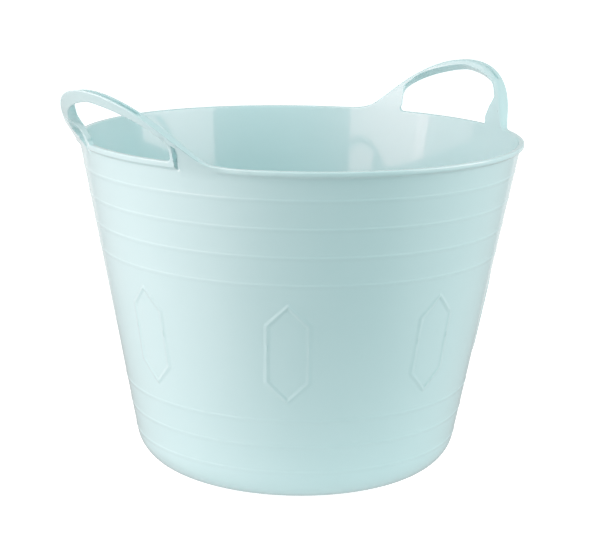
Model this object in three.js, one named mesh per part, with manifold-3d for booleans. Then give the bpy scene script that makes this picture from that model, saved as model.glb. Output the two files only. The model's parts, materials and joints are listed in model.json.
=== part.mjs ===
// Flexible moulded tub: a tapered round bowl with hoops and raised hexagons on
// its wall, a flared rim and two arched carrying handles that bend in the hand.
// Millimetres, +Z up. The origin is on the ground under the middle of the tub,
// and the two handles stand over the X axis.

import * as THREE from 'three';
import { mergeVertices } from 'three/addons/utils/BufferGeometryUtils.js';
import Module from 'manifold-3d';

const wasm = await Module();
wasm.setup();

// Bowl
const RIM_HEIGHT = 291;           // ground to the top of the rim
const WALL_TOP_RADIUS = 192.7;    // outside of the wall carried up to the rim's top
const WALL_BASE_RADIUS = 139.2;   // outside of the wall carried down to the ground
const WALL_THICKNESS = 2.5;       // level thickness at the rim
const FLOOR_THICKNESS = 2.8;
const CORNER_RADIUS = 30.6;       // outside fillet between wall and floor
const FOOT_WIDTH = 14;            // flat ring that the tub stands on
const FOOT_RECESS = 1.5;          // lift of the floor inside that ring
const RECESS_SLOPE = 2;           // run of the slope from the ring to the lifted floor

// Rim
const LIP_OVERHANG = 2.4;         // lip beyond the wall
const LIP_HEIGHT = 4.5;           // upright face of the lip
const LIP_TAPER = 5;              // slope from the lip back to the wall
const LIP_ROUND = 1;              // eased edges along the top of the rim
const RIM_SKIRT = 4.5;            // plain wall below the slope, part of the rim

// Hoops: low ridges round the wall, each on a small step of the wall
const HOOP_HEIGHT = 2.6;
const HOOP_RELIEF = 0.7;
const HOOP_STEP = 0.6;
const UPPER_HOOPS = 4;
const UPPER_HOOP_DROP = 11.5;     // rim piece to the first hoop below it
const UPPER_HOOP_PITCH = 23;
const LOWER_HOOPS = 3;
const LOWER_HOOP_RISE = 5.1;      // top of the corner fillet to the lowest hoop
const LOWER_HOOP_PITCH = 23.8;

// Raised hexagon outlines between the two groups of hoops
const HEXAGONS = 8;
const HEX_WIDTH = 34;             // between the middles of the upright ribs
const HEX_HEIGHT = 84;            // between the middles of the two points
const HEX_SIDE = 49.6;            // length of the upright ribs
const HEX_RIB = 3.6;              // width of the rib
const HEX_RELIEF = 0.8;           // rib above the wall
const HEX_ROOT = 1;               // rib sunk into the wall

// Handle arch, measured along the rim and up from its top
const HANDLE_RISE = 52.5;         // top of the grip above the rim
const GRIP_HEIGHT = 9;            // grip at the crown, opening to top
const GRIP_THICKNESS = 9;         // grip from the inner to the outer face
const OPENING_HALF_WIDTH = 57;    // finger opening at its widest
const OPENING_DRAFT = 2.5;        // narrowing of the opening down to the rim
const OPENING_SPRING = 12;        // height where the opening starts to arch
const OPENING_POWER = 1.7;        // fullness of the opening's arch
const LEG_WIDTH = 30.4;           // arch foot beyond the opening
const SWOOP_SOFTNESS = 7;         // how gently the arch runs out along the rim
const SWOOP_TOE = 0.3;            // height where the run-out ends
const RIGHT_LEAN = 0.5;           // outward lean of each handle per millimetre of height
const LEFT_LEAN = 0.6;            // the left one is bent a little further out
const LEAN_BLEND = 8;             // height in which the wall's lean turns into it
const FLARE_HEIGHT = 22;          // height in which the lip thickens to the grip
const SEAT_DEPTH = 0.2;           // inner face of the handle behind that of the bowl

// Handle section
const UNDERSIDE_RISE = 5;         // slant of the grip's underside, outer to inner edge
const UNDERSIDE_LOW = 12;         // height where the slant starts, above the square leg
const UNDERSIDE_HIGH = 24;        // height where it is full
const EDGE_ROUND = 0.9;
const FAIRING_HALF = 0.25;        // share of the outer face, from its top, that is half way out
const FAIRING_FULL = 0.67;        // share of it that is all the way out
const GROOVE_HALF_LENGTH = 46;    // channel along the top of the grip
const GROOVE_DEPTH = 3.5;
const FLANGE = 2.7;               // grip either side of the channel
const GROOVE_DRAFT = 0.5;

// Hollow on the outside of each leg, beside the opening
const WEB_THICKNESS = 2.8;        // left on the inside of the hollow
const POCKET_WALL = 2.2;          // left between the opening and the hollow
const POCKET_WIDTH = 8.5;
const POCKET_FOOT_WIDTH = 5;      // at its lower end
const POCKET_RISE = 17;           // upper end above the rim
const POCKET_SLANT = 4;           // fall of the upper end away from the opening
const POCKET_DROP = 7;            // lower end below the top of the rim

// Bending line of the handle and the gap that parts it from the rim
const FLEX_RISE = 15;             // bending line above the rim
const FLEX_RADIUS = 9;            // round seat about the bending line
const PARTING_GAP = 0.3;

// Fineness of the facets
const ROUND_STEPS = 64;
const CORNER_STEPS = 6;
const LEG_STEPS = 4;
const ARCH_STEPS = 8;
const INNER_STEPS = 3;
const SEAT_STEPS = 40;
const WELD_DISTANCE = 1e-4;
const SEARCH_STEP = 1e-3;

const MINT = { color: 0xbfdedb, roughness: 0.42, metalness: 0 };

// Wall lines

const wallSlope = (WALL_TOP_RADIUS - WALL_BASE_RADIUS) / RIM_HEIGHT;
const wallAngle = Math.atan(wallSlope);
const cornerMiddle = WALL_BASE_RADIUS + (wallSlope - Math.hypot(1, wallSlope)) * CORNER_RADIUS;
const cornerTop = CORNER_RADIUS * (1 - Math.sin(wallAngle));
const rimSplit = RIM_HEIGHT - LIP_HEIGHT - LIP_TAPER - RIM_SKIRT;
const lipRadius = WALL_TOP_RADIUS + LIP_OVERHANG;
const rimInnerRadius = WALL_TOP_RADIUS - WALL_THICKNESS;

function wallOuter(z) {
  return WALL_BASE_RADIUS + wallSlope * z;
}

function cornerPoint(radius, angle) {
  const r = cornerMiddle + radius * Math.cos(angle);
  return new THREE.Vector2(r, CORNER_RADIUS + radius * Math.sin(angle));
}

const innerCornerTop = cornerPoint(CORNER_RADIUS - FLOOR_THICKNESS, -wallAngle);

function wallInner(z) {
  const share = (z - innerCornerTop.y) / (RIM_HEIGHT - innerCornerTop.y);
  return THREE.MathUtils.lerp(innerCornerTop.x, rimInnerRadius, share);
}

const innerSlope = (rimInnerRadius - innerCornerTop.x) / (RIM_HEIGHT - innerCornerTop.y);

// Solids and booleans

function toSolid(geometry) {
  const bare = geometry.clone();
  bare.deleteAttribute('normal');
  bare.deleteAttribute('uv');
  const merged = mergeVertices(bare, WELD_DISTANCE);
  const vertProperties = new Float32Array(merged.attributes.position.array);
  const triVerts = new Uint32Array(merged.index.array);
  return new wasm.Manifold(new wasm.Mesh({ numProp: 3, vertProperties, triVerts }));
}

function toGeometry(solid) {
  const mesh = solid.getMesh();
  const geometry = new THREE.BufferGeometry();
  geometry.setAttribute('position', new THREE.BufferAttribute(mesh.vertProperties, 3));
  geometry.setIndex(new THREE.BufferAttribute(mesh.triVerts, 1));
  return geometry;
}

function revolve(profile) {
  const lathe = new THREE.LatheGeometry([...profile, profile[0]], ROUND_STEPS);
  return toSolid(lathe.rotateX(Math.PI / 2));
}

// Floor: a flat plate lifted inside the ring that the tub stands on

function floorProfile() {
  const edge = cornerMiddle - PARTING_GAP;
  const ring = cornerMiddle - FOOT_WIDTH;
  const lifted = ring - RECESS_SLOPE;
  return [
    new THREE.Vector2(0, FOOT_RECESS),
    new THREE.Vector2(lifted, FOOT_RECESS),
    new THREE.Vector2(ring, 0),
    new THREE.Vector2(edge, 0),
    new THREE.Vector2(edge, FLOOR_THICKNESS),
    new THREE.Vector2(ring, FLOOR_THICKNESS),
    new THREE.Vector2(lifted, FLOOR_THICKNESS + FOOT_RECESS),
    new THREE.Vector2(0, FLOOR_THICKNESS + FOOT_RECESS),
  ];
}

// Wall: corner fillet, then the leaning wall with its stepped hoops

function hoopHeights() {
  const lower = Array.from({ length: LOWER_HOOPS },
    (_, i) => cornerTop + LOWER_HOOP_RISE + i * LOWER_HOOP_PITCH);
  const upper = Array.from({ length: UPPER_HOOPS },
    (_, i) => rimSplit - UPPER_HOOP_DROP - i * UPPER_HOOP_PITCH);
  return { lower, upper: upper.reverse() };
}

function hoopPoints(z) {
  const half = HOOP_HEIGHT / 2;
  const low = -HOOP_STEP / 2;
  const high = HOOP_STEP / 2;
  return [[-half, low], [-half / 2, high + HOOP_RELIEF], [half / 2, high + HOOP_RELIEF], [half, high]]
    .map(([rise, relief]) => new THREE.Vector2(wallOuter(z + rise) + relief, z + rise));
}

function cornerArc(radius, from, to) {
  return Array.from({ length: CORNER_STEPS + 1 },
    (_, i) => cornerPoint(radius, THREE.MathUtils.lerp(from, to, i / CORNER_STEPS)));
}

function wallProfile() {
  const { lower, upper } = hoopHeights();
  return [
    ...cornerArc(CORNER_RADIUS, -Math.PI / 2, -wallAngle),
    ...[...lower, ...upper].flatMap(hoopPoints),
    new THREE.Vector2(wallOuter(rimSplit), rimSplit),
    new THREE.Vector2(wallInner(rimSplit), rimSplit),
    ...cornerArc(CORNER_RADIUS - FLOOR_THICKNESS, -wallAngle, -Math.PI / 2),
  ];
}

// Hexagon outline, drawn flat as x round the wall and y up it

function hexagonPath(PathType, grow) {
  const half = HEX_WIDTH / 2 + grow;
  const point = (HEX_HEIGHT - HEX_SIDE) / 2;
  const slant = Math.atan2(point, HEX_WIDTH / 2);
  const tip = HEX_HEIGHT / 2 + grow / Math.cos(slant);
  const shoulder = tip - half * Math.tan(slant);
  const corners = [[half, -shoulder], [half, shoulder], [half / 2, (tip + shoulder) / 2], [0, tip],
    [-half / 2, (tip + shoulder) / 2], [-half, shoulder], [-half, -shoulder],
    [-half / 2, -(tip + shoulder) / 2], [0, -tip], [half / 2, -(tip + shoulder) / 2]];
  return new PathType(corners.map(([x, y]) => new THREE.Vector2(x, y)));
}

function hexagonRib(middleHeight, turn) {
  const outline = hexagonPath(THREE.Shape, HEX_RIB / 2);
  outline.holes.push(hexagonPath(THREE.Path, -HEX_RIB / 2));
  const depth = HEX_ROOT + HEX_RELIEF;
  const flat = new THREE.ExtrudeGeometry(outline, { depth, steps: 1, bevelEnabled: false });
  const place = flat.attributes.position;
  for (let i = 0; i < place.count; i += 1) {
    const z = middleHeight + place.getY(i);
    const angle = turn + place.getX(i) / wallOuter(middleHeight);
    const r = wallOuter(z) - HEX_ROOT + place.getZ(i);
    place.setXYZ(i, r * Math.cos(angle), r * Math.sin(angle), z);
  }
  return toSolid(flat);
}

function wallSolid() {
  const { lower, upper } = hoopHeights();
  const middle = (lower[LOWER_HOOPS - 1] + upper[0]) / 2;
  const ribs = Array.from({ length: HEXAGONS },
    (_, i) => hexagonRib(middle, (i * 2 * Math.PI) / HEXAGONS));
  return ribs.reduce((wall, rib) => wall.add(rib), revolve(wallProfile()));
}

// Rim: the top of the wall with its flared lip

function rimProfile() {
  const lipFoot = RIM_HEIGHT - LIP_HEIGHT;
  const taperFoot = lipFoot - LIP_TAPER;
  return [
    new THREE.Vector2(wallOuter(rimSplit), rimSplit),
    new THREE.Vector2(wallOuter(taperFoot), taperFoot),
    new THREE.Vector2(lipRadius, lipFoot),
    new THREE.Vector2(lipRadius, RIM_HEIGHT - LIP_ROUND),
    new THREE.Vector2(lipRadius - LIP_ROUND, RIM_HEIGHT),
    new THREE.Vector2(rimInnerRadius + LIP_ROUND, RIM_HEIGHT),
    new THREE.Vector2(wallInner(RIM_HEIGHT - LIP_ROUND), RIM_HEIGHT - LIP_ROUND),
    new THREE.Vector2(wallInner(rimSplit), rimSplit),
  ];
}

// Handle: one lofted arch from the rim up over the finger opening and down again.
// A point of it is given by its distance along the rim, its height above the rim
// and its depth outwards from the handle's inner face.

const archHalfSpan = OPENING_HALF_WIDTH + LEG_WIDTH;
const openingRise = HANDLE_RISE - GRIP_HEIGHT - OPENING_SPRING;
const lipThickness = lipRadius - rimInnerRadius;
const fairingDrop = RIM_HEIGHT - rimSplit - PARTING_GAP;

function leanRadius(rise, lean) {
  if (rise <= 0) {
    return wallInner(RIM_HEIGHT + rise) + SEAT_DEPTH;
  }
  const turned = Math.min(rise, LEAN_BLEND);
  const added = turned ** 2 / (2 * LEAN_BLEND) + Math.max(rise - LEAN_BLEND, 0);
  return rimInnerRadius + SEAT_DEPTH + innerSlope * rise + (lean - innerSlope) * added;
}

function handlePoint({ along, rise, depth }, lean) {
  const angle = along / lipRadius;
  const r = leanRadius(rise, lean) + depth;
  return new THREE.Vector3(r * Math.cos(angle), r * Math.sin(angle), RIM_HEIGHT + rise);
}

// Height of the arch's upper edge: a parabola that runs out softly along the rim

function archTop(along) {
  const parabola = HANDLE_RISE * (1 - (along / archHalfSpan) ** 2);
  return SWOOP_SOFTNESS * Math.log1p(Math.exp(parabola / SWOOP_SOFTNESS));
}

function archReach(rise) {
  const height = Math.max(rise, SWOOP_TOE);
  const parabola = SWOOP_SOFTNESS * Math.log(Math.expm1(height / SWOOP_SOFTNESS));
  return archHalfSpan * Math.sqrt(1 - parabola / HANDLE_RISE);
}

// The two edges of the arch at one section: on the opening and on the upper edge

function openingSide(rise) {
  const share = THREE.MathUtils.clamp(rise / OPENING_SPRING, 0, 1);
  return OPENING_HALF_WIDTH - OPENING_DRAFT * (1 - share);
}

function legEdges(rise) {
  const low = new THREE.Vector2(openingSide(rise), rise);
  return { low, high: new THREE.Vector2(archReach(rise), rise) };
}

function archEdges(angle) {
  const across = Math.max(Math.cos(angle), 0) ** (2 / OPENING_POWER);
  const up = Math.sin(angle) ** (2 / OPENING_POWER);
  const low = new THREE.Vector2(OPENING_HALF_WIDTH * across, OPENING_SPRING + openingRise * up);
  const heading = new THREE.Vector2(Math.max(Math.cos(angle), 0), Math.sin(angle));
  let near = 0;
  let far = HANDLE_RISE + archHalfSpan;
  while (far - near > SEARCH_STEP) {
    const trial = (near + far) / 2;
    const point = low.clone().addScaledVector(heading, trial);
    if (point.y < archTop(point.x)) {
      near = trial;
    } else {
      far = trial;
    }
  }
  return { low, high: low.clone().addScaledVector(heading, near) };
}

// Depth of the outer face: the grip's at the top, the lip's at the rim, and from
// there a straight fairing down to the wall, which ends inside the lip at the toe

function outerDepth(rise) {
  if (rise < -LIP_HEIGHT) {
    const share = (rise + fairingDrop) / (fairingDrop - LIP_HEIGHT);
    return THREE.MathUtils.lerp(WALL_THICKNESS - SEAT_DEPTH, lipThickness, share);
  }
  const flare = THREE.MathUtils.smoothstep(rise, 0, FLARE_HEIGHT);
  return THREE.MathUtils.lerp(lipThickness, GRIP_THICKNESS, flare);
}

function toeDepth(rise) {
  return rise > 0 ? outerDepth(rise) : WALL_THICKNESS - 2 * SEAT_DEPTH;
}

// Section across the arch: a list of points at a distance from the opening's edge
// and a depth from the inner face. On the grip it is a bar with a slanted underside
// and a channel in its top; on a leg it is square.

function handleSection({ low, high }) {
  const { lerp, smoothstep } = THREE.MathUtils;
  const width = low.distanceTo(high);
  const slant = smoothstep(low.y, UNDERSIDE_LOW, UNDERSIDE_HIGH);
  const innerFoot = lerp(EDGE_ROUND, UNDERSIDE_RISE, slant);
  const crown = width - EDGE_ROUND;
  const depth = outerDepth(low.y);
  const crownDepth = toeDepth(high.y);
  const flange = crownDepth * FLANGE / GRIP_THICKNESS;
  const draft = crownDepth * GROOVE_DRAFT / GRIP_THICKNESS;
  const closing = THREE.MathUtils.clamp(1 - high.x / GROOVE_HALF_LENGTH, 0, 1);
  const groove = GROOVE_DEPTH * Math.sqrt(closing);
  const innerRows = Array.from({ length: INNER_STEPS + 1 },
    (_, i) => [lerp(innerFoot, crown, i / INNER_STEPS), 0]);
  const rows = [
    ...innerRows,
    [width, Math.min(EDGE_ROUND, flange / 2)],
    [width, flange],
    [width - groove, flange + draft],
    [width - groove, crownDepth - flange - draft],
    [width, crownDepth - flange],
    [width, crownDepth - Math.min(EDGE_ROUND, flange / 2)],
    [crown, crownDepth],
    [lerp(crown, EDGE_ROUND, FAIRING_HALF), (crownDepth + depth) / 2],
    [lerp(crown, EDGE_ROUND, FAIRING_FULL), depth],
    [EDGE_ROUND, depth],
    [0, depth - EDGE_ROUND],
    [innerFoot / 2, depth / 2],
  ];
  return rows.map(([across, deep]) => {
    const spot = low.clone().lerp(high, across / width);
    return { along: spot.x, rise: spot.y, depth: deep, across };
  });
}

function handleSections() {
  const straight = Array.from({ length: LEG_STEPS - 1 },
    (_, i) => ((i + 1) / LEG_STEPS) * OPENING_SPRING);
  const legs = [-fairingDrop, -LIP_HEIGHT, 0, SWOOP_TOE, ...straight]
    .map((rise) => handleSection(legEdges(rise)));
  const crown = Array.from({ length: ARCH_STEPS + 1 },
    (_, i) => handleSection(archEdges((i / ARCH_STEPS) * (Math.PI / 2))));
  const half = [...legs, ...crown];
  const mirrored = half.slice(0, -1).reverse()
    .map((section) => section.map((point) => ({ ...point, along: -point.along })));
  return [...half, ...mirrored];
}

function loft(sections, lean) {
  const size = sections[0].length;
  const positions = sections.flat().flatMap((point) => handlePoint(point, lean).toArray());
  const index = [];
  for (let row = 0; row < sections.length - 1; row += 1) {
    for (let i = 0; i < size; i += 1) {
      const a = row * size + i;
      const b = row * size + ((i + 1) % size);
      index.push(a, a + size, b, b, a + size, b + size);
    }
  }
  const outline = sections[0].map((point) => new THREE.Vector2(point.across, point.depth));
  const last = (sections.length - 1) * size;
  for (const [a, b, c] of THREE.ShapeUtils.triangulateShape(outline, [])) {
    index.push(a, b, c, last + a, last + c, last + b);
  }
  const geometry = new THREE.BufferGeometry();
  geometry.setAttribute('position', new THREE.Float32BufferAttribute(positions, 3));
  geometry.setIndex(index);
  return toSolid(geometry);
}

// Hollow of a leg: its outline along the rim and up it, cut in from outside

function pocketCutter(side, lean) {
  const edge = (rise) => openingSide(rise) + POCKET_WALL;
  const farTop = POCKET_RISE - POCKET_SLANT;
  const outline = [
    [edge(0), -POCKET_DROP], [edge(0), 0], [edge(OPENING_SPRING), OPENING_SPRING],
    [edge(OPENING_SPRING), POCKET_RISE], [edge(farTop) + POCKET_WIDTH, farTop],
    [edge(0) + POCKET_WIDTH, 0], [edge(0) + POCKET_FOOT_WIDTH, -POCKET_DROP],
  ].map(([along, rise]) => new THREE.Vector2(side * along, rise));
  const depth = 2 * GRIP_THICKNESS;
  const flat = new THREE.ExtrudeGeometry(new THREE.Shape(outline), { depth, bevelEnabled: false });
  const place = flat.attributes.position;
  for (let i = 0; i < place.count; i += 1) {
    const spot = { along: place.getX(i), rise: place.getY(i), depth: WEB_THICKNESS + place.getZ(i) };
    place.setXYZ(i, ...handlePoint(spot, lean).toArray());
  }
  return toSolid(flat);
}

// Round seat along the bending line, and everything above that line

function flexMiddle(lean) {
  const rise = FLEX_RISE;
  const inner = handlePoint({ along: archReach(rise), rise, depth: 0 }, lean);
  const outer = handlePoint({ along: OPENING_HALF_WIDTH, rise, depth: outerDepth(rise) }, lean);
  return new THREE.Vector3((inner.x + outer.x) / 2, 0, RIM_HEIGHT + rise);
}

function aboveFlex(lean, clearance) {
  const middle = flexMiddle(lean);
  const length = 3 * archHalfSpan;
  const height = 2 * HANDLE_RISE;
  const radius = FLEX_RADIUS + clearance;
  const block = new THREE.BoxGeometry(WALL_TOP_RADIUS, length, height);
  block.translate(middle.x, 0, middle.z + height / 2);
  const seat = new THREE.CylinderGeometry(radius, radius, length, SEAT_STEPS);
  seat.translate(middle.x, 0, middle.z);
  return toSolid(block).add(toSolid(seat));
}

// One handle: its bending arch, the feet it grows from and the hollows beside it

function handleSolids(lean) {
  const pockets = pocketCutter(1, lean).add(pocketCutter(-1, lean));
  const arch = loft(handleSections(), lean).subtract(pockets);
  return {
    pockets,
    bendingLine: flexMiddle(lean),
    grip: arch.intersect(aboveFlex(lean, 0)),
    feet: arch.subtract(aboveFlex(lean, PARTING_GAP)),
  };
}

function turned(solid, angle) {
  return toSolid(toGeometry(solid).rotateZ(angle));
}

// The tub

const HALF_TURN = Math.PI;
const right = handleSolids(RIGHT_LEAN);
const left = handleSolids(LEFT_LEAN);
const rimSolid = revolve(rimProfile())
  .subtract(right.pockets).add(right.feet)
  .subtract(turned(left.pockets, HALF_TURN)).add(turned(left.feet, HALF_TURN));

function piece(name, solid) {
  const mesh = new THREE.Mesh(toGeometry(solid), new THREE.MeshStandardMaterial(MINT));
  mesh.name = name;
  return mesh;
}

// A handle carries a point of the line that it bends about, which runs along its own Y

function handlePiece(name, handle, angle) {
  const mesh = piece(name, handle.grip);
  mesh.userData.bendingLine = handle.bendingLine.toArray();
  mesh.rotation.z = angle;
  return mesh;
}

const tub = new THREE.Group();
tub.add(piece('tub_floor', revolve(floorProfile())));
tub.add(piece('tub_wall', wallSolid()));
tub.add(piece('rim', rimSolid));
tub.add(handlePiece('handle_right', right, 0));
tub.add(handlePiece('handle_left', left, HALF_TURN));

export default tub;
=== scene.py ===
"""Flexible moulded tub, dressed for its picture.

The tub is one soft, pale mint moulding: a tapered round bowl with hoops and raised hexagons
on its wall, a lipped rim, and arched carrying handles whose hollow legs bend. It is built in
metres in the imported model's own frame: +Z up, with the handles standing over the X axis.
"""

import json
import logging
import math
from dataclasses import dataclass
from enum import Enum
from typing import Callable, Sequence, Union

import bmesh
import bpy
from mathutils import Matrix, Vector


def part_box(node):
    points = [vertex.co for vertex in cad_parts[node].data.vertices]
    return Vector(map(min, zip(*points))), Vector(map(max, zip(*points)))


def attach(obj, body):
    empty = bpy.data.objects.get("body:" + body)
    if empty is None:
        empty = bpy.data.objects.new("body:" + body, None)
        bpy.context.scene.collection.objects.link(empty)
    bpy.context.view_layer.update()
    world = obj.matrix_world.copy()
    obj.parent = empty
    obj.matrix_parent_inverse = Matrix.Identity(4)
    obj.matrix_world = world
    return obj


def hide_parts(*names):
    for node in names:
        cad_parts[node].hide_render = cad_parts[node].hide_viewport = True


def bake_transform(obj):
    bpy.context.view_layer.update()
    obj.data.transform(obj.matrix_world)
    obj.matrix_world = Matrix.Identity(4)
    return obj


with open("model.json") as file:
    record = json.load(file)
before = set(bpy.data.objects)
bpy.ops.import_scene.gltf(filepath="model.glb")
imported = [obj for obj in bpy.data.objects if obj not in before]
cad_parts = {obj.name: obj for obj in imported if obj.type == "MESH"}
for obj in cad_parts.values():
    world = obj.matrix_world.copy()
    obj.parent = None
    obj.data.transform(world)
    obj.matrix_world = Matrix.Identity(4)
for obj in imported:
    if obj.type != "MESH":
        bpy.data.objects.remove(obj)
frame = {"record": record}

LOG = logging.getLogger("tub")
MM = 0.001
TUB = "tub"
WELD = 1e-6
SECTORS = 8
SHARP = math.radians(50)
RAMP = (0.0, 1.0)

Point = tuple[float, float]
Spot = tuple[float, float, float]
Colour = tuple[float, float, float, float]
Line = Callable[[float], Vector]
Mesh = bmesh.types.BMesh
Material = bpy.types.Material
Node = bpy.types.Node
Socket = bpy.types.NodeSocket
Given = Union[float, Spot, Colour, Socket]


def mix(start: float, end: float, share: float) -> float:
    """Value between start and end, at a share of the way."""
    return start + (end - start) * share


def clamp(value: float) -> float:
    """Value held between 0 and 1."""
    return min(max(value, 0.0), 1.0)


def ease(low: float, high: float, value: float) -> float:
    """Smooth step from 0 at low to 1 at high."""
    share = clamp((value - low) / (high - low))
    return share * share * (3 - 2 * share)


def between(start: Point, end: Point, share: float) -> Point:
    """Point on the straight line from start to end."""
    return mix(start[0], end[0], share), mix(start[1], end[1], share)


def rounded(start: Point, corner: Point, end: Point, steps: int) -> list[Point]:
    """Points of a rounded corner.

    Args:
        start: Where the rounding leaves the first side.
        corner: The sharp corner that it rounds off.
        end: Where it meets the second side.
        steps: Steps along the rounding.

    Returns:
        The points from start to end, both included.
    """
    shares = [i / steps for i in range(steps + 1)]
    return [between(between(start, corner, t), between(corner, end, t), t) for t in shares]


def levels(start: float, end: float, pitch: float) -> list[float]:
    """Evenly spaced values from start to end, about a pitch apart, both ends included."""
    steps = max(round(abs(end - start) / pitch), 1)
    return [mix(start, end, i / steps) for i in range(steps + 1)]


class Side(Enum):
    """The two handles, by the name of the body that each one moves with."""

    RIGHT = "handle_right"
    LEFT = "handle_left"

    @property
    def turn(self) -> float:
        """Turn about the tub's axis from the +X side to this handle."""
        return 0.0 if self is Side.RIGHT else math.pi


def grey(tone: float) -> Colour:
    """Grey colour of a tone, where 1 is white."""
    return tone, tone, tone, 1.0


@dataclass(frozen=True)
class Nodes:
    """The nodes of one material or world, and the calculations that they share."""

    tree: bpy.types.NodeTree

    def feed(self, node: Node, given: dict[str | int, Given]) -> None:
        """Fill inputs of a node.

        Args:
            node: The node.
            given: For each input its constant, or the socket that it is linked to.
        """
        for key, value in given.items():
            if isinstance(value, Socket):
                self.tree.links.new(value, node.inputs[key])
            else:
                node.inputs[key].default_value = value

    def add(self, kind: str, given: dict[str | int, Given], **options: str) -> Node:
        """Add a node.

        Args:
            kind: Its type, without the words that every type starts with.
            given: What its inputs get.
            options: Its settings.

        Returns:
            The node.
        """
        node = self.tree.nodes.new(f"ShaderNode{kind}")
        for option, choice in options.items():
            setattr(node, option, choice)
        self.feed(node, given)
        return node

    def mixed(self, share: Socket, start: Given, end: Given, kind: str = "FLOAT") -> Socket:
        """Mix two values or colours.

        Args:
            share: Socket with the share of the second one.
            start: The first one.
            end: The second one.
            kind: Kind of value that they are.

        Returns:
            The socket with the mixture.
        """
        node = self.add("Mix", {"Factor": share, "A": start, "B": end}, data_type=kind)
        return node.outputs["Result"]

    def eased(self, source: Socket, given: Point, wanted: Point) -> Socket:
        """Ease a socket's value from one range of values to another.

        Args:
            source: Socket with the value.
            given: Two values of the source.
            wanted: What they become.

        Returns:
            The socket with the new value.
        """
        inputs = {"Value": source, "From Min": given[0], "From Max": given[1],
                  "To Min": wanted[0], "To Max": wanted[1]}
        return self.add("MapRange", inputs, interpolation_type="SMOOTHSTEP").outputs["Result"]

    def noise(self, place: Socket, scale: float, detail: float) -> Socket:
        """Cloudy noise over the surface.

        Args:
            place: Socket with the place on the object.
            scale: Clouds per metre.
            detail: Octaves of finer cloud.

        Returns:
            The socket with the noise's height.
        """
        inputs = {"Vector": place, "Scale": scale, "Detail": detail}
        return self.add("TexNoise", inputs).outputs["Fac"]

    def seen_white(self, path: Node, tint: Spot) -> Socket:
        """Colour that is white to the camera and has a tint for the tub."""
        return self.mixed(path.outputs["Is Camera Ray"], (*tint, 1.0), grey(1.0), "RGBA")


@dataclass(frozen=True)
class Ripple:
    """A cloudy bump: clouds per metre, octaves, the share that shows and the full height."""

    scale: float
    detail: float
    strength: float
    height: float


@dataclass(frozen=True)
class MintPlastic:
    """Soft satin plastic in pale mint, with a fine moulded skin and faint flow marks."""

    name: str = "mint_plastic"
    pale: Colour = (0.475, 0.725, 0.735, 1.0)
    deep: Colour = (0.455, 0.705, 0.715, 1.0)
    gloss: Point = (0.36, 0.44)
    sheen: float = 0.5
    skin: float = 0.8
    skin_gloss: float = 0.07
    cloud_scale: float = 14.0
    cloud_detail: float = 3.0
    flow_scale: Spot = (55.0, 55.0, 5.0)
    flow_detail: float = 2.0
    wave: Ripple = Ripple(26.0, 1.0, 0.05, 1.2 * MM)
    grain: Ripple = Ripple(1100.0, 2.0, 0.02, 0.05 * MM)
    refraction: float = 1.51

    def build(self) -> Material:
        """Make the material.

        Returns:
            The finished node material.
        """
        material = bpy.data.materials.new(self.name)
        material.use_nodes = True
        nodes = Nodes(material.node_tree)
        place = nodes.add("TexCoord", {}).outputs["Object"]
        cloud = nodes.noise(place, self.cloud_scale, self.cloud_detail)
        stretch = nodes.add("Mapping", {"Vector": place, "Scale": self.flow_scale})
        flow = nodes.noise(stretch.outputs["Vector"], 1.0, self.flow_detail)
        low, high = self.gloss
        gloss = nodes.add("MapRange", {"Value": flow, "To Min": low, "To Max": high})
        normal: dict[str, Socket] = {}
        for ripple in (self.wave, self.grain):
            height = nodes.noise(place, ripple.scale, ripple.detail)
            bump = nodes.add("Bump", {"Height": height, "Strength": ripple.strength,
                                      "Distance": ripple.height, **normal})
            normal = {"Normal": bump.outputs["Normal"]}
        nodes.feed(material.node_tree.nodes["Principled BSDF"], {
            "IOR": self.refraction,
            "Specular IOR Level": self.sheen,
            "Coat Weight": self.skin,
            "Coat Roughness": self.skin_gloss,
            "Base Color": nodes.mixed(cloud, self.pale, self.deep, "RGBA"),
            "Roughness": gloss.outputs["Result"],
            **normal,
        })
        return material


def chain(bm: Mesh, points: Sequence[Point], closed: bool) -> None:
    """Draw an outline in the plane of the radius and the height.

    Args:
        bm: Mesh that gets the outline.
        points: Radius and height of each point.
        closed: Whether the last point joins the first.
    """
    verts = [bm.verts.new((radius, 0.0, height)) for radius, height in points]
    ends = verts[1:] + verts[:1] if closed else verts[1:]
    for first, second in zip(verts, ends):
        bm.edges.new((first, second))


def repeat(bm: Mesh, turn: float) -> None:
    """Add a copy of the whole mesh, turned about the tub's axis.

    Args:
        bm: The mesh.
        turn: Turn of the copy.
    """
    copy = bmesh.ops.duplicate(bm, geom=bm.verts[:] + bm.edges[:] + bm.faces[:])
    moved = [item for item in copy["geom"] if isinstance(item, bmesh.types.BMVert)]
    bmesh.ops.rotate(bm, cent=(0, 0, 0), matrix=Matrix.Rotation(turn, 3, "Z"), verts=moved)


def welded(bm: Mesh) -> Mesh:
    """Finish a skin.

    Args:
        bm: The mesh.

    Returns:
        The same mesh, its doubled points joined and its faces turned outwards.
    """
    bmesh.ops.remove_doubles(bm, verts=bm.verts, dist=WELD)
    bmesh.ops.recalc_face_normals(bm, faces=bm.faces)
    return bm


def revolve(points: Sequence[Point], steps: int, closed: bool) -> Mesh:
    """Turn an outline once round the tub's axis.

    Args:
        points: Radius and height of each point.
        steps: Steps of the turn.
        closed: Whether the outline is a ring, and not a line from axis to axis.

    Returns:
        The turned mesh, with its faces pointing outwards.
    """
    bm = bmesh.new()
    chain(bm, points, closed)
    sector = 2 * math.pi / SECTORS
    bmesh.ops.spin(bm, geom=bm.verts[:] + bm.edges[:], cent=(0, 0, 0), axis=(0, 0, 1),
                   angle=sector, steps=steps // SECTORS)
    # Each copy doubles the mesh: three of them fill the eight sectors
    for copies in (1, 2, 4):
        repeat(bm, sector * copies)
    return welded(bm)


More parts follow.
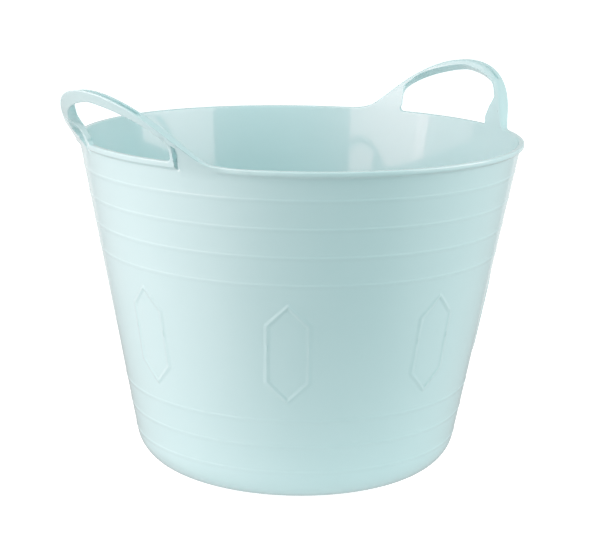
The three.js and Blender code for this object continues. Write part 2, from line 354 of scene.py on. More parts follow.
def make_piece(bm: Mesh, name: str, material: Material) -> bpy.types.Object:
    """Turn a finished mesh into a piece of the tub.

    Args:
        bm: The mesh, which is used up.
        name: Name of the piece.
        material: Its finish.

    Returns:
        The piece, in the scene and smoothly shaded up to its sharp edges.
    """
    mesh = bpy.data.meshes.new(name)
    bm.to_mesh(mesh)
    bm.free()
    mesh.shade_smooth()
    mesh.set_sharp_from_angle(angle=SHARP)
    mesh.materials.append(material)
    piece = bpy.data.objects.new(name, mesh)
    bpy.context.scene.collection.objects.link(piece)
    LOG.info("%s: %d faces", name, len(mesh.polygons))
    return piece


@dataclass
class Bowl:
    """The floor and the wall, up to where the rim starts."""

    rim_height: float
    rim_split: float
    top_radius: float = 192.7 * MM
    base_radius: float = 139.2 * MM
    thickness: float = 2.5 * MM
    floor_thickness: float = 2.8 * MM
    corner_radius: float = 30.6 * MM
    foot_width: float = 14 * MM
    foot_recess: float = 1.5 * MM
    recess_slope: float = 2 * MM
    gate_radius: float = 3 * MM
    gate_taper: float = 0.8
    gate_height: float = 0.7 * MM
    hoop_reach: Point = (3.4 * MM, 1.7 * MM)
    hoop_relief: float = 0.31 * MM
    upper_hoops: int = 4
    upper_drop: float = 9.8 * MM
    upper_pitch: float = 23.5 * MM
    lower_hoops: int = 3
    lower_rise: float = 5.1 * MM
    lower_pitch: float = 23.8 * MM
    hexagons: int = 8
    hex_width: float = 34 * MM
    hex_height: float = 84 * MM
    hex_side: float = 49.6 * MM
    hex_rib: float = 3.6 * MM
    hex_relief: float = 0.8 * MM
    hex_crest: float = 0.2
    hex_margin: float = 9 * MM
    hex_crowding: float = 0.6
    turn_steps: int = 384
    hex_steps: int = 640
    plain_pitch: float = 4 * MM
    fine_pitch: float = 0.4 * MM
    rib_pitch: float = 1.1 * MM
    inner_pitch: float = 8 * MM
    floor_pitch: float = 10 * MM
    foot_pitch: float = 5 * MM
    corner_steps: int = 14

    @property
    def slope(self) -> float:
        """Outward run of the wall for each metre up."""
        return (self.top_radius - self.base_radius) / self.rim_height

    @property
    def corner_middle(self) -> float:
        """Radius of the middle of the fillet between the wall and the floor."""
        lean = self.slope - math.hypot(1, self.slope)
        return self.base_radius + lean * self.corner_radius

    def corner(self, radius: float, steps: int) -> list[Point]:
        """Fillet between floor and wall.

        Args:
            radius: Radius of the fillet.
            steps: Steps along it.

        Returns:
            Its points, from the floor up to the wall.
        """
        top = math.pi / 2 - math.atan(self.slope)
        turns = [top * i / steps for i in range(steps + 1)]
        return [(self.corner_middle + radius * math.sin(turn),
                 self.corner_radius - radius * math.cos(turn)) for turn in turns]

    @property
    def inner_foot(self) -> Point:
        """Lower end of the straight inner wall."""
        return self.corner(self.corner_radius - self.floor_thickness, 1)[-1]

    def inner(self, height: float) -> float:
        """Inner face of the wall.

        Args:
            height: A height above the ground.

        Returns:
            Its radius there.
        """
        radius, foot = self.inner_foot
        share = (height - foot) / (self.rim_height - foot)
        return mix(radius, self.top_radius - self.thickness, share)

    def hoops(self) -> list[float]:
        """Places of the hoops.

        Returns:
            Their heights, from the lowest up.
        """
        foot = self.corner(self.corner_radius, 1)[-1][1] + self.lower_rise
        head = self.rim_split - self.upper_drop
        lower = [foot + i * self.lower_pitch for i in range(self.lower_hoops)]
        upper = [head - i * self.upper_pitch for i in range(self.upper_hoops)]
        return lower + upper[::-1]

    def outer(self, height: float) -> float:
        """Outer face of the wall with its hoops, which are gentle below and short above.

        Args:
            height: A height above the ground.

        Returns:
            Its radius there.
        """
        below, above = self.hoop_reach
        proud = 0.0
        for hoop in self.hoops():
            away = (height - hoop) / (above if height > hoop else below)
            if abs(away) < 1:
                proud = self.hoop_relief * (0.5 + 0.5 * math.cos(math.pi * away))
        return self.base_radius + self.slope * height + proud

    def wall_levels(self, low: float, high: float) -> list[float]:
        """Rows of a stretch of the outer wall.

        Args:
            low: Height where it starts.
            high: Height where it ends.

        Returns:
            The rows' heights, close together at the hoops.
        """
        below, above = self.hoop_reach
        rows: list[float] = []
        start = low
        for hoop in [h for h in self.hoops() if low < h < high]:
            rows += levels(start, hoop - below, self.plain_pitch)[:-1]
            start = hoop + above
            rows += levels(hoop - below, start, self.fine_pitch)[:-1]
        return rows + levels(start, high, self.plain_pitch)

    def wall_ring(self, outer_rows: Sequence[float]) -> list[Point]:
        """Closed outline of a stretch of wall.

        Args:
            outer_rows: Heights of the rows on its outer face, from the lowest up.

        Returns:
            The points up the outer face and down the inner one.
        """
        inner_rows = levels(outer_rows[-1], outer_rows[0], self.inner_pitch)
        return [(self.outer(z), z) for z in outer_rows] + [(self.inner(z), z) for z in inner_rows]

    def hex_band(self) -> Point:
        """Stretch of wall that carries the hexagons.

        Returns:
            Its lowest and its highest level.
        """
        hoops = self.hoops()
        middle = (hoops[self.lower_hoops - 1] + hoops[self.lower_hoops]) / 2
        reach = self.hex_height / 2 + self.hex_margin
        return middle - reach, middle + reach

    def floor_and_corner(self) -> Mesh:
        """Floor, corner fillet and hooped foot of the wall.

        Returns:
            One closed shell.
        """
        top = self.hex_band()[0]
        ring = self.corner_middle - self.foot_width
        lifted = ring - self.recess_slope
        gate = self.foot_recess - self.gate_height
        under = [(0.0, gate), (self.gate_radius * self.gate_taper, gate),
                 (self.gate_radius, self.foot_recess)]
        under += [(r, self.foot_recess)
                  for r in levels(self.gate_radius, lifted, self.floor_pitch)[1:]]
        under += [(r, 0.0) for r in levels(ring, self.corner_middle, self.foot_pitch)]
        outside = self.corner(self.corner_radius, self.corner_steps)[1:]
        outside += [(self.outer(z), z) for z in self.wall_levels(outside[-1][1], top)[1:]]
        inside = [(self.inner(z), z) for z in levels(top, self.inner_foot[1], self.inner_pitch)]
        inner_radius = self.corner_radius - self.floor_thickness
        inside += self.corner(inner_radius, self.corner_steps)[::-1][1:]
        floor = [(ring, self.floor_thickness)]
        raised = self.floor_thickness + self.foot_recess
        floor += [(r, raised) for r in levels(lifted, 0.0, self.floor_pitch)]
        return revolve(under + outside + inside + floor, self.turn_steps, closed=False)

    def hooped_wall(self) -> Mesh:
        """Upper wall with its hoops, from the hexagons up to the rim."""
        rows = self.wall_levels(self.hex_band()[1], self.rim_split)
        return revolve(self.wall_ring(rows), self.turn_steps, closed=True)

    def hex_swell(self, across: float, up: float) -> float:
        """Relief of a hexagon's rib.

        Args:
            across: Distance round the wall from the hexagon's middle.
            up: Distance up the wall from its middle.

        Returns:
            Height of the rib above the plain wall.
        """
        x, y = abs(across), abs(up)
        half, shoulder, tip = self.hex_width / 2, self.hex_side / 2, self.hex_height / 2
        upright = math.hypot(x - half, max(y - shoulder, 0.0))
        run, rise = half, shoulder - tip
        share = clamp((x * run + (y - tip) * rise) / (run * run + rise * rise))
        slant = math.hypot(x - share * run, y - tip - share * rise)
        away = min(upright, slant) / (self.hex_rib / 2)
        return self.hex_relief * (1 - ease(self.hex_crest, 1.0, away))

    def hexagon_band(self) -> Mesh:
        """Stretch of wall with the raised hexagons.

        Returns:
            The closed ring, its columns crowded where the hexagons stand.
        """
        low, high = self.hex_band()
        bm = revolve(self.wall_ring(levels(low, high, self.rib_pitch)), self.hex_steps, closed=True)
        middle = (low + high) / 2
        pitch = 2 * math.pi / self.hexagons
        for vert in bm.verts:
            radius = math.hypot(vert.co.x, vert.co.y)
            turn = math.atan2(vert.co.y, vert.co.x)
            turn -= self.hex_crowding / self.hexagons * math.sin(self.hexagons * turn)
            if radius > self.base_radius + self.slope * vert.co.z - self.thickness / 2:
                across = (turn - pitch * round(turn / pitch)) * radius
                radius += self.hex_swell(across, vert.co.z - middle)
            vert.co.x = radius * math.cos(turn)
            vert.co.y = radius * math.sin(turn)
        return bm

    def build(self, material: Material) -> None:
        """Make the bowl's pieces and set them on the tub.

        Args:
            material: The tub's finish.
        """
        floor = make_piece(self.floor_and_corner(), "floor_and_corner", material)
        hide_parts("tub_floor", "tub_wall")
        band = make_piece(self.hexagon_band(), "hexagon_band", material)
        wall = make_piece(self.hooped_wall(), "hooped_wall", material)
        for piece in (floor, band, wall):
            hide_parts("tub_wall")
            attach(piece, TUB)


@dataclass
class Rim:
    """The lipped edge of the mouth. A rise is a height above its top."""

    bowl: Bowl
    lip_radius: float
    lip_height: float = 3.2 * MM
    lip_taper: float = 2.8 * MM
    lip_softness: float = 0.6
    edge_round: float = 1.3 * MM
    round_steps: int = 4
    outer_pitch: float = 0.6 * MM
    inner_pitch: float = 3 * MM
    arc_step: float = 1.8 * MM

    @property
    def skirt(self) -> float:
        """Height of the rim below its top."""
        return self.bowl.rim_height - self.bowl.rim_split

    def inner(self, rise: float) -> float:
        """Radius of the inner face at a rise."""
        return self.bowl.inner(self.bowl.rim_height + rise)

    def wall_depth(self, rise: float) -> float:
        """Thickness of the plain wall at a rise."""
        plain = self.bowl.base_radius + self.bowl.slope * (self.bowl.rim_height + rise)
        return plain - self.inner(rise)

    def lip_depth(self, rise: float) -> float:
        """Outer face of the lip.

        Args:
            rise: A rise of 0 or less.

        Returns:
            Its depth there from the inner face.
        """
        foot = -self.lip_height - self.lip_taper
        share = clamp((rise - foot) / self.lip_taper)
        soft = mix(share, ease(0, 1, share), self.lip_softness)
        return mix(self.wall_depth(rise), self.lip_radius - self.inner(rise), soft)

    def outline(self) -> list[Point]:
        """Closed outline of the rim.

        Returns:
            Rise and depth of its points, up the outer face and down the inner one.
        """
        top, radius = self.lip_depth(0.0), self.edge_round
        outer_rows = levels(-self.skirt, -radius, self.outer_pitch)[:-1]
        points = [(rise, self.lip_depth(rise)) for rise in outer_rows]
        points += rounded((-radius, self.lip_depth(-radius)), (0.0, top), (0.0, top - radius),
                          self.round_steps)
        points += rounded((0.0, radius), (0.0, 0.0), (-radius, 0.0), self.round_steps)
        inner_rows = levels(-radius, -self.skirt, self.inner_pitch)[1:]
        return points + [(rise, 0.0) for rise in inner_rows]

    def arc(self, start: float, end: float) -> Mesh:
        """One stretch of the rim.

        Args:
            start: Turn about the tub's axis where it starts.
            end: Turn where it ends.

        Returns:
            The stretch as a closed solid.
        """
        bm = bmesh.new()
        points = [(self.inner(rise) + depth, self.bowl.rim_height + rise)
                  for rise, depth in self.outline()]
        chain(bm, points, closed=True)
        bmesh.ops.contextual_create(bm, geom=bm.edges[:])
        bmesh.ops.transform(bm, matrix=Matrix.Rotation(start, 4, "Z"), verts=bm.verts)
        steps = round((end - start) * self.lip_radius / self.arc_step)
        bmesh.ops.spin(bm, geom=bm.faces[:], cent=(0, 0, 0), axis=(0, 0, 1),
                       angle=end - start, steps=steps)
        return welded(bm)

    def build(self, reach: float, material: Material) -> None:
        """Make the two stretches of rim between the handles and set them on the tub.

        Args:
            reach: Turn from a handle's middle to where its own stretch of rim ends.
            material: The tub's finish.
        """
        bm = self.arc(reach, math.pi - reach)
        repeat(bm, math.pi)
        piece = make_piece(bm, "rim_edge", material)
        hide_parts("rim")
        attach(piece, TUB)


@dataclass(frozen=True)
class Column:
    """One line across the handle's plate, from the finger opening to its far edge.

    Places on the plate are a distance along the rim and a rise above it.
    """

    edge: Vector
    edge_way: Vector
    far: Vector
    far_way: Vector
    topped: bool


@dataclass(frozen=True)
class Flank:
    """How one side of a handle's upper edge comes down to the rim."""

    half: float
    softness: float


@dataclass
class Handle:
    """One arched handle with the stretch of rim that it grows from.

    The handle is a plate that stands on the rim's line. It has an inner and an outer face, a
    finger opening, and an upper edge that sweeps from the rim over the grip and down again.
    """

    rim: Rim
    side: Side
    lean: float
    lean_blend: float
    offset: float
    lift: float
    flanks: tuple[Flank, Flank]
    opening_half: float
    moved: Point = (75 * MM, 120 * MM)
    reach: float = 125 * MM
    rise: float = 52.5 * MM
    grip_height: float = 9.8 * MM
    grip_depth: float = 10 * MM
    opening_draft: float = 2.5 * MM
    opening_corner: float = 4 * MM
    spring: float = 17 * MM
    fullness: float = 1.5
    leg_depth: float = 8.2 * MM
    flare: Point = (-11 * MM, 7 * MM)
    flare_end: Point = (5 * MM, 18 * MM)
    flange_depth: float = 5 * MM
    flange_end: Point = (11 * MM, 24 * MM)
    underside_rise: float = 5.5 * MM
    shoulder_rise: float = 2.5 * MM
    shoulder: Point = (24 * MM, 33 * MM)
    notch: Point = (18 * MM, 24 * MM)
    gusset: float = 4.2 * MM
    gusset_start: Point = (0 * MM, 7 * MM)
    groove_half_length: float = 46 * MM
    groove_end: float = 5 * MM
    groove_half_width: float = 1.8 * MM
    groove_least: float = 0.3 * MM
    groove_depth: float = 2.2 * MM
    groove_profile: tuple[Point, ...] = ((0.0, 0.6 * MM), (0.04, 0.25 * MM), (0.2, 0.0),
                                         (0.8, -0.15 * MM), (0.97, -0.25 * MM))
    web: float = 1.8 * MM
    pocket_wall: float = 2.8 * MM
    pocket_width: float = 6.8 * MM
    pocket_foot: Point = (2.2 * MM, 5.4 * MM)
    pocket_rise: float = 17.3 * MM
    pocket_slant: float = 4.8 * MM
    pocket_drop: float = 6.5 * MM
    pocket_widening: float = 2.2
    pocket_round: float = 1.2 * MM
    pocket_edge: float = 0.7 * MM
    fairing_start: Point = (58 * MM, 64 * MM)
    fairing_end: Point = (92 * MM, 107 * MM)
    bend_start: float = 1 * MM
    bend_end: float = 36 * MM
    sheet_rows: int = 36
    near_rows: int = 26
    near_reach: float = 15.5 * MM
    near_columns: Point = (18 * MM, 28 * MM)
    far_growth: float = 1.4
    zone_lines: tuple[int, ...] = (24, 20, 8, 18, 18, 72)
    rail_spread: float = 4 * MM
    low_reach: float = 100 * MM
    turn_rises: Point = (6.5 * MM, 9.5 * MM)
    halvings: int = 40

    def stand(self, rise: float) -> float:
        """Inner face, where the wall's lean turns into the handle's.

        Args:
            rise: A rise above the rim.

        Returns:
            Its radius there.
        """
        if rise <= 0:
            return self.rim.inner(rise)
        step = 1 * MM
        slope = (self.rim.inner(0.0) - self.rim.inner(-step)) / step
        turned = min(rise, self.lean_blend)
        added = turned ** 2 / (2 * self.lean_blend) + max(rise - self.lean_blend, 0.0)
        return self.rim.inner(0.0) + slope * rise + (self.lean - slope) * added

    def place(self, spot: Spot) -> Vector:
        """Place in the tub's frame.

        Args:
            spot: Distance along the rim, rise above it and depth from the inner face.

        Returns:
            The point in metres.
        """
        along, rise, depth = spot
        moved = (1 - ease(*self.moved, abs(along))) * ease(-self.rim.skirt, 0.0, rise)
        turn = (along + self.offset * moved) / self.rim.lip_radius + self.side.turn
        radius = self.stand(rise) + depth
        height = self.rim.bowl.rim_height + rise + self.lift * moved
        return Vector((radius * math.cos(turn), radius * math.sin(turn), height))

    def flank(self, along: float) -> Flank:
        """The side of the arch where a place lies."""
        return self.flanks[0 if along < 0 else 1]

    def top(self, along: float) -> float:
        """Rise of the upper edge: an arch that runs out softly along the rim."""
        flank = self.flank(along)
        arch = self.rise * (1 - (along / flank.half) ** 2)
        return flank.softness * math.log1p(math.exp(arch / flank.softness))

    def top_reach(self, rise: float, way: int) -> float:
        """Distance along the rim, one way from the middle, where the upper edge has a rise."""
        flank = self.flank(way)
        share = flank.softness * math.log(math.expm1(rise / flank.softness)) / self.rise
        return flank.half * math.sqrt(1 - share)

    def sag(self, along: float) -> float:
        """Sag of the upper edge below a straight line from the leg to the handle's end.

        Args:
            along: Distance along the rim.

        Returns:
            The sag there, 0 or more.
        """
        start = self.top_reach(self.spring, 1 if along > 0 else -1)
        share = clamp((abs(along) - start) / (self.reach - start))
        ends = self.top(math.copysign(start, along)), self.top(math.copysign(self.reach, along))
        return max(mix(*ends, share) - self.top(along), 0.0) if 0 < share < 1 else 0.0

    def settled(self, spot: Vector) -> Vector:
        """Place on the plate for one on a plate whose upper edge does not sag."""
        sag, foot = self.sag(spot.x), self.rim.skirt
        share = (spot.y + foot) / (self.top(spot.x) + sag + foot)
        return Vector((spot.x, spot.y - sag * share))

    def unsettled(self, spot: Vector) -> Vector:
        """The other way about: place on a plate whose upper edge does not sag."""
        sag, foot = self.sag(spot.x), self.rim.skirt
        share = (spot.y + foot) / (self.top(spot.x) + foot)
        return Vector((spot.x, spot.y + sag * share))

    def opening_side(self, rise: float) -> float:
        """Half width of the finger opening at a rise below its arch."""
        share = clamp(rise / self.spring)
        return self.opening_half - self.opening_draft * (1 - share) ** 2

    def arch_edge(self, turn: float) -> Vector:
        """Point on the opening's arch.

        Args:
            turn: 0 at the opening's side and a quarter turn at its crown.

        Returns:
            The point, on the half forward along the rim.
        """
        power = 2 / self.fullness
        across = max(math.cos(turn), 0.0) ** power
        up = math.sin(turn) ** power
        height = self.rise - self.grip_height - self.spring
        return Vector((self.opening_half * across, self.spring + height * up))

    def arch_far(self, turn: float, way: int) -> Vector:
        """Point on the upper edge, straight out from the opening's arch.

        Args:
            turn: Turn of the arch's point.
            way: 1 for the half forward along the rim, -1 for the other.

        Returns:
            The point, mirrored to the half forward along the rim.
        """
        near = self.arch_edge(turn)
        heading = Vector((max(math.cos(turn), 0.0), math.sin(turn)))
        low, high = 0.0, self.rise + self.reach
        for _ in range(self.halvings):
            middle = (low + high) / 2
            spot = near + heading * middle
            low, high = (middle, high) if spot.y < self.top(spot.x * way) else (low, middle)
        return near + heading * low

    def half_columns(self, way: int) -> list[tuple[Vector, Vector, bool]]:
        """Lines across one half of the plate, from the middle of the rail to the crown.

        Args:
            way: 1 for the half forward along the rim, -1 for the other, which is given mirrored.

        Returns:
            For each line its point on the opening, its point on the far edge, and whether that
            is the handle's own upper edge and not a cut to the rest of the tub.
        """
        skirt, reach, quarter = self.rim.skirt, self.reach, math.pi / 2
        corner = self.opening_side(0.0)
        rail_end = corner - self.opening_corner
        rail_far = rail_end + self.rail_spread
        turn_low, turn_high = self.turn_rises

        def side(rise: float) -> Vector:
            """Point on the opening's side at a rise."""
            return Vector((self.opening_side(rise), rise))

        def bend(share: float) -> Vector:
            """Point on the opening's rounded lower corner."""
            foot, head = Vector((rail_end, 0.0)), side(self.opening_corner)
            knee = Vector((corner, 0.0))
            return foot.lerp(knee, share).lerp(knee.lerp(head, share), share)

        def below(start: float, end: float, share: float) -> Vector:
            """Point on the plate's lower edge, between two distances along the rim."""
            return Vector((mix(start, end, share), -skirt))

        def above(share: float) -> Vector:
            """Point on the upper edge, from the handle's end to its leg."""
            along = mix(reach, self.top_reach(self.spring, way), share)
            return Vector((along, self.top(along * way)))

        zones: list[tuple[Line, Line, bool]] = [
            (lambda t: Vector((mix(0, rail_end, t), 0.0)), lambda t: below(0, rail_far, t), False),
            (bend, lambda t: below(rail_far, self.low_reach, t), False),
            (lambda t: side(mix(self.opening_corner, turn_low, t)),
             lambda t: below(self.low_reach, reach, t), False),
            (lambda t: side(mix(turn_low, turn_high, t)),
             lambda t: Vector((reach, mix(-skirt, 0.0, t))), False),
            (lambda t: side(mix(turn_high, self.spring, t)), above, True),
            (lambda t: self.arch_edge(t * quarter),
             lambda t: self.arch_far(t * quarter, way), True),
        ]
        lines = [(edge(i / count), far(i / count), topped)
                 for count, (edge, far, topped) in zip(self.zone_lines, zones)
                 for i in range(count)]
        return lines + [(self.arch_edge(quarter), self.arch_far(quarter, way), True)]

    def columns(self) -> list[Column]:
        """All lines across the plate, once round the opening.

        Returns:
            The lines, of which the last repeats the first.
        """
        mirrored = [(Vector((-edge.x, edge.y)), Vector((-far.x, far.y)), topped)
                    for edge, far, topped in self.half_columns(-1)]
        lines = self.half_columns(1) + mirrored[-2::-1]
        count = len(lines) - 1
        made = []
        for i, (edge, far, topped) in enumerate(lines):
            run = lines[(i + 1) % count][0] - lines[(i - 1) % count][0]
            edge_way = Vector((run.y, -run.x)).normalized()
            step = 0.1 * MM
            tilt = (self.top(far.x + step) - self.top(far.x - step)) / (2 * step)
            far_way = Vector((-tilt, 1.0)).normalized()
            made.append(Column(edge, edge_way, far, far_way, topped))
        return made

    def pocket(self, along: float, rise: float) -> float:
        """Hollow of the leg.

        Args:
            along: Distance along the rim.
            rise: Rise above it.

        Returns:
            1 at a place in the hollow, 0 beside it and a share at its edge.
        """
        into = abs(along) - self.opening_side(max(rise, 0.0)) - self.pocket_wall
        widening = clamp((rise + self.pocket_drop) / (self.pocket_widening * self.pocket_drop))
        start = mix(self.pocket_foot[0], 0.0, widening)
        end = mix(self.pocket_foot[1], self.pocket_width, widening)
        ceiling = self.pocket_rise - self.pocket_slant * clamp(into / self.pocket_width)
        sides = (into - start, end - into, ceiling - rise, rise + self.pocket_drop)
        missing = [max(self.pocket_round - gap, 0.0) for gap in sides]
        inside = self.pocket_round - math.hypot(*missing)
        return ease(0.0, self.pocket_edge, inside)

    def depth(self, along: float, rise: float) -> float:
        """Outer face of the plate.

        Args:
            along: Distance along the rim.
            rise: Rise above it.

        Returns:
            Its depth there from the inner face.
        """
        away = abs(along)
        wall = self.rim.wall_depth(min(rise, 0.0))
        leg = self.leg(rise)
        if rise <= 0:
            lip = self.rim.lip_depth(rise)
        else:
            short = self.rim.lip_depth(0.0) - self.leg(0.0)
            lip = leg + short * (1 - ease(0, self.flare_end[1], rise))
        fairing = ease(*self.fairing_start, away) * (1 - ease(*self.fairing_end, away))
        plain = mix(lip, leg, fairing)
        into = away - self.opening_side(max(rise, 0.0))
        flange = mix(self.flange_depth, self.grip_depth, ease(*self.flange_end, rise))
        beside = 1 - ease(self.pocket_wall, self.pocket_wall + self.pocket_edge, into)
        plain = mix(plain, min(plain, flange), beside)
        floor = min(plain, max(self.web, wall if rise <= 0 else 0.0))
        return mix(plain, floor, self.pocket(along, rise))

    def leg(self, rise: float) -> float:
        """Depth of a leg's body at a rise, from the plain wall over the full leg to the grip."""
        body = mix(self.rim.wall_depth(min(rise, 0.0)), self.leg_depth, ease(*self.flare, rise))
        return mix(body, self.grip_depth, ease(*self.flare_end, rise))

    def underside(self, rise: float) -> float:
        """Offset of the opening's inner edge from its outer one.

        Below the notch the leg's inner web reaches into the opening. Above it the grip's
        underside slants up towards the inner face, most at the crown.

        Args:
            rise: Rise of the opening's outer edge.

        Returns:
            The offset, away from the opening.
        """
        above = ease(*self.notch, rise)
        web = self.gusset * ease(*self.gusset_start, rise)
        grip = mix(self.shoulder_rise, self.underside_rise, ease(*self.shoulder, rise))
        return mix(-web, grip, above)

    def spread(self, length: float) -> list[float]:
        """Shares of a line where the rows of a face cross it.

        Args:
            length: Length of the line.

        Returns:
            Shares from 0 to 1, crowded near the opening on a long line.
        """
        even = [i / self.sheet_rows for i in range(self.sheet_rows + 1)]
        far_rows = self.sheet_rows - self.near_rows
        near = [self.near_reach * i / self.near_rows for i in range(self.near_rows + 1)]
        rest = [mix(self.near_reach, length, (i / far_rows) ** self.far_growth)
                for i in range(1, far_rows + 1)]
        crowding = ease(*self.near_columns, length)
        crowded = [value / length for value in near + rest]
        return [mix(a, b, crowding) for a, b in zip(even, crowded)]

    def loop(self, column: Column) -> list[Spot]:
        """Closed ring of places round the plate's section along one line.

        Args:
            column: The line across the plate.

        Returns:
            Up the outer face, over the far edge, down the inner face and round the opening's
            edge. The last place repeats the first.
        """
        soft, steps = self.rim.edge_round, self.rim.round_steps
        edge, way = column.edge, column.edge_way
        foot = self.underside(edge.y)
        near = edge + way * soft
        near_inner = edge + way * (foot + soft)
        far = self.unsettled(column.far - column.far_way * soft if column.topped else column.far)
        shares = self.spread((far - near).length)
        outer = [self.settled(near.lerp(far, share)) for share in shares]
        inner = [self.settled(far.lerp(near_inner, share / self.sheet_rows))
                 for share in range(self.sheet_rows + 1)]
        spots = [(spot.x, spot.y, self.depth(spot.x, spot.y)) for spot in outer]
        far_depth, near_depth = spots[-1][2], spots[0][2]
        for drop, depth in self.far_strip(column, far_depth):
            spot = column.far - column.far_way * drop if column.topped else column.far
            spots.append((spot.x, spot.y, depth))
        spots += [(spot.x, spot.y, 0.0) for spot in inner]
        lean = Vector((-foot, near_depth)).normalized()
        turn_in = rounded((foot + soft, 0.0), (foot, 0.0),
                          (foot + lean.x * soft, lean.y * soft), steps)
        turn_out = rounded((-lean.x * soft, near_depth - lean.y * soft), (0.0, near_depth),
                           (soft, near_depth), steps)
        for out, depth in turn_in[1:] + turn_out:
            spot = edge + way * out
            spots.append((spot.x, spot.y, depth))
        return spots

    def far_strip(self, column: Column, depth: float) -> list[Point]:
        """Places across the far edge, as a drop below it and a depth.

        Args:
            column: The line that ends there.
            depth: Depth of the outer face there.

        Returns:
            The places from the outer face to the inner one, neither of them included.
        """
        soft, steps = self.rim.edge_round, self.rim.round_steps
        gap = self.groove_half_length - abs(column.far.x)
        cut = ease(0.0, self.groove_end, gap)
        half = mix(self.groove_least, self.groove_half_width, cut)
        low = self.groove_depth * cut
        middle = depth / 2
        lip = [(share * low, half + aside) for share, aside in self.groove_profile]
        groove = [(drop, middle + off) for drop, off in lip]
        groove += [(low, middle)] + [(drop, middle - off) for drop, off in lip[::-1]]
        outer = rounded((soft, depth), (0.0, depth), (0.0, depth - soft), steps)[1:]
        inner = rounded((0.0, soft), (0.0, 0.0), (soft, 0.0), steps)[:-1]
        strip = outer + groove + inner
        if column.topped:
            return strip
        count = len(strip) + 1
        return [(0.0, mix(depth, 0.0, (i + 1) / count)) for i in range(len(strip))]

    def skin(self) -> Mesh:
        """The whole handle, laid over a grid that closes both ways.

        Returns:
            One closed skin.
        """
        rings = [self.loop(column) for column in self.columns()]
        wide, high = len(rings) - 1, len(rings[0]) - 1
        bm = bmesh.new()
        bmesh.ops.create_grid(bm, x_segments=wide, y_segments=high, size=0.5)
        for vert in bm.verts:
            column = round((vert.co.x + 0.5) * wide)
            row = round((vert.co.y + 0.5) * high)
            vert.co = self.place(rings[column][row])
        return welded(bm)

    def build(self, material: Material) -> None:
        """Make the handle's piece in place of the imported handle.

        Args:
            material: The tub's finish.
        """
        name = self.side.value
        piece = make_piece(self.skin(), f"{name}_moulding", material)
        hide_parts(name)
        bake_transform(piece)


@dataclass(frozen=True)
class Lamp:
    """A softbox, placed by where it stands as seen from the camera's side of the tub."""

    name: str
    aside: float
    elevation: float
    distance: float
    size: Point
    power: float
    colour: Spot


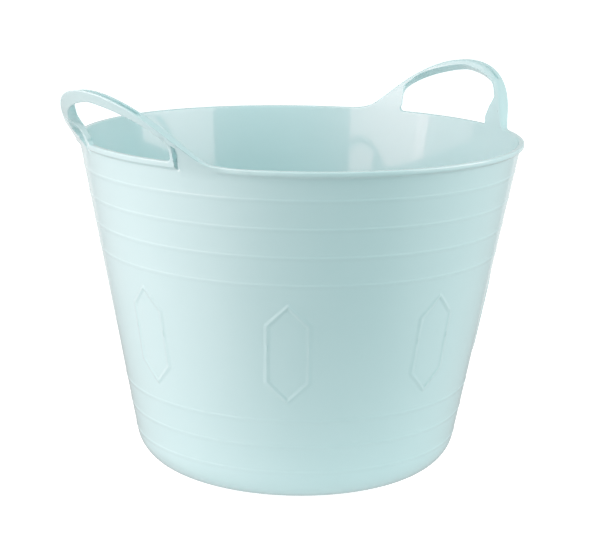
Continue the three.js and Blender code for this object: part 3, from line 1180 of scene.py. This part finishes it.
@dataclass
class Studio:
    """Camera, softboxes, white floor and white surroundings."""

    heading: float = math.radians(42.644)
    pitch: float = math.radians(13.738)
    roll: float = math.radians(0.999)
    stand: Spot = (-0.9379, -1.0213, 0.4982)
    focal_share: float = 1590.58 / 600
    sensor: float = 36.0
    lamps: tuple[Lamp, ...] = (
        Lamp("key_softbox", -56, 31, 1.5, (1.4, 1.9), 29.5, (1.0, 0.625, 0.625)),
        Lamp("fill_softbox", 80, 24, 1.6, (1.5, 1.3), 22.5, (1.0, 0.7, 0.7)),
        Lamp("side_softbox", -95, 26, 1.5, (1.2, 1.3), 6, (1.0, 0.68, 0.68)),
        Lamp("front_softbox", 15, 38, 1.8, (1.6, 1.2), 2.2, (0.55, 1.0, 1.0)),
    )
    aim: Spot = (0.0, 0.0, 0.17)
    floor_half: float = 8.0
    floor_drop: float = 0.2 * MM
    floor_white: Point = (0.82, 1.0)
    floor_pool: Point = (0.2, 0.8)
    floor_tone: float = 0.45
    floor_roughness: float = 0.9
    # The floor's painted light for the tub: a dark sector in front, its glow, and its shine in
    # reflections
    dark_aside: float = 10
    dark_width: Point = (0.58, 0.94)
    dark_start: Point = (0.17, 0.45)
    glow: Point = (0.73, 0.0)
    glow_tint: Spot = (1.0, 0.89, 0.89)
    shine: Point = (0.44, 0.0)
    back_shine: float = 0.8
    back_width: Point = (0.77, 0.82)
    ambient: Spot = (0.2, 0.42, 0.42)
    sky_shine: float = 0.7

    def camera(self) -> None:
        """Set up the camera as the picture was taken."""
        data = bpy.data.cameras.new("camera")
        data.sensor_width = self.sensor
        data.lens = self.focal_share * self.sensor
        camera = bpy.data.objects.new("camera", data)
        turn = (Matrix.Rotation(-self.heading, 4, "Z")
                @ Matrix.Rotation(math.pi / 2 - self.pitch, 4, "X")
                @ Matrix.Rotation(self.roll, 4, "Z"))
        camera.matrix_world = Matrix.Translation(self.stand) @ turn
        bpy.context.scene.collection.objects.link(camera)
        bpy.context.scene.camera = camera

    def turn(self, aside: float) -> float:
        """Turn about the tub's axis for an angle in degrees from the camera's side."""
        return -math.pi / 2 - self.heading + math.radians(aside)

    def light(self, lamp: Lamp) -> None:
        """Set up one softbox, facing the tub.

        Args:
            lamp: The softbox.
        """
        data = bpy.data.lights.new(lamp.name, "AREA")
        data.shape = "RECTANGLE"
        data.size, data.size_y = lamp.size
        data.energy = lamp.power
        data.color = lamp.colour
        light = bpy.data.objects.new(lamp.name, data)
        turn, tilt = self.turn(lamp.aside), math.radians(lamp.elevation)
        level = math.cos(tilt)
        away = Vector((math.cos(turn) * level, math.sin(turn) * level, math.sin(tilt)))
        light.matrix_world = (Matrix.Translation(Vector(self.aim) + away * lamp.distance)
                              @ away.to_track_quat("Z", "Y").to_matrix().to_4x4())
        bpy.context.scene.collection.objects.link(light)

    def facing(self, nodes: Nodes, way: Socket, aside: float) -> Socket:
        """How far a way over the floor faces a side.

        Args:
            nodes: The floor's nodes.
            way: Socket with the way.
            aside: Angle of the side from the camera's, in degrees.

        Returns:
            The socket with the cosine between the two.
        """
        turn = self.turn(aside)
        side = (math.cos(turn), math.sin(turn), 0.0)
        return nodes.add("VectorMath", {0: way, 1: side}, operation="DOT_PRODUCT").outputs["Value"]

    def floor_material(self) -> Material:
        """Make the floor: white to the camera, and to the tub a painted glow and painted
        reflection, bright aside and dark in front.

        Returns:
            The node material, which keeps a little of the tub's shadow.
        """
        material = bpy.data.materials.new("white_floor")
        material.use_nodes = True
        tree = material.node_tree
        nodes = Nodes(tree)
        path = nodes.add("LightPath", {})
        place = nodes.add("TexCoord", {}).outputs["Object"]
        away = nodes.add("VectorMath", {0: place}, operation="LENGTH").outputs["Value"]
        way = nodes.add("VectorMath", {0: place}, operation="NORMALIZE").outputs["Vector"]
        front = nodes.eased(self.facing(nodes, way, self.dark_aside), self.dark_width, RAMP)
        clear = nodes.eased(away, self.dark_start, RAMP)
        dark = nodes.add("Math", {0: front, 1: clear}, operation="MULTIPLY").outputs["Value"]
        # Painted light: the floor glows onto the tub aside, and not in front
        glow = nodes.mixed(dark, *self.glow)
        pool = nodes.eased(away, self.floor_pool, self.floor_white)
        shader = tree.nodes["Principled BSDF"]
        nodes.feed(shader, {
            "Base Color": grey(self.floor_tone),
            "Roughness": self.floor_roughness,
            "Specular IOR Level": 0.0,
            "Emission Color": nodes.seen_white(path, self.glow_tint),
            "Emission Strength": nodes.mixed(path.outputs["Is Camera Ray"], glow, pool),
        })
        # Painted reflection, seen only in the tub's gloss: bright aside and behind, dark in front
        behind = nodes.eased(self.facing(nodes, way, 180), self.back_width, RAMP)
        shine = nodes.mixed(behind, nodes.mixed(dark, *self.shine), self.back_shine)
        card = nodes.add("Emission", {"Strength": shine})
        blend = nodes.add("MixShader", {
            "Fac": path.outputs["Is Glossy Ray"],
            1: shader.outputs["BSDF"],
            2: card.outputs["Emission"],
        })
        nodes.feed(tree.nodes["Material Output"], {"Surface": blend.outputs["Shader"]})
        return material

    def floor(self) -> None:
        """Lay the plain floor, a hair below the tub's foot."""
        bm = bmesh.new()
        bmesh.ops.create_grid(bm, x_segments=1, y_segments=1, size=self.floor_half)
        bmesh.ops.translate(bm, vec=Vector((0, 0, -self.floor_drop)), verts=bm.verts)
        piece = make_piece(bm, "white_floor", self.floor_material())

    def surroundings(self) -> None:
        """Soft light from all round: white to the camera, paler in reflections than on the tub."""
        world = bpy.data.worlds.new("white_room")
        world.use_nodes = True
        nodes = Nodes(world.node_tree)
        path = nodes.add("LightPath", {})
        seen = nodes.seen_white(path, self.ambient)
        colour = nodes.mixed(path.outputs["Is Glossy Ray"], seen, grey(self.sky_shine), "RGBA")
        nodes.feed(world.node_tree.nodes["Background"], {"Color": colour})
        bpy.context.scene.world = world

    def build(self) -> None:
        """Set up the whole studio."""
        self.camera()
        self.surroundings()
        self.floor()
        for lamp in self.lamps:
            self.light(lamp)
        bpy.context.scene.view_settings.view_transform = "Standard"


def main() -> None:
    """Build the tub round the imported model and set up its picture."""
    logging.basicConfig(level=logging.INFO, format="%(message)s")
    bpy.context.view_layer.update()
    mounts = {mount["name"]: mount for mount in frame["record"]["mounts"]}
    bowl = Bowl(rim_height=mounts["rim_top"]["pos_m"][2], rim_split=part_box("tub_wall")[1].z)
    rim = Rim(bowl, lip_radius=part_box("rim")[1].y)
    right = Handle(rim, Side.RIGHT, lean=0.56, lean_blend=24 * MM, offset=1 * MM, lift=0.0,
                   flanks=(Flank(89.5 * MM, 2.5 * MM), Flank(85 * MM, 9 * MM)),
                   opening_half=59.2 * MM)
    left = Handle(rim, Side.LEFT, lean=0.61, lean_blend=8 * MM, offset=0.0, lift=1.5 * MM,
                  flanks=(Flank(89.5 * MM, 10 * MM), Flank(82.5 * MM, 5.5 * MM)),
                  opening_half=57.8 * MM)
    material = MintPlastic().build()
    Studio().build()
    bowl.build(material)
    rim.build(right.reach / rim.lip_radius, material)
    right.build(material)
    left.build(material)


if __name__ == "__main__":
    main()
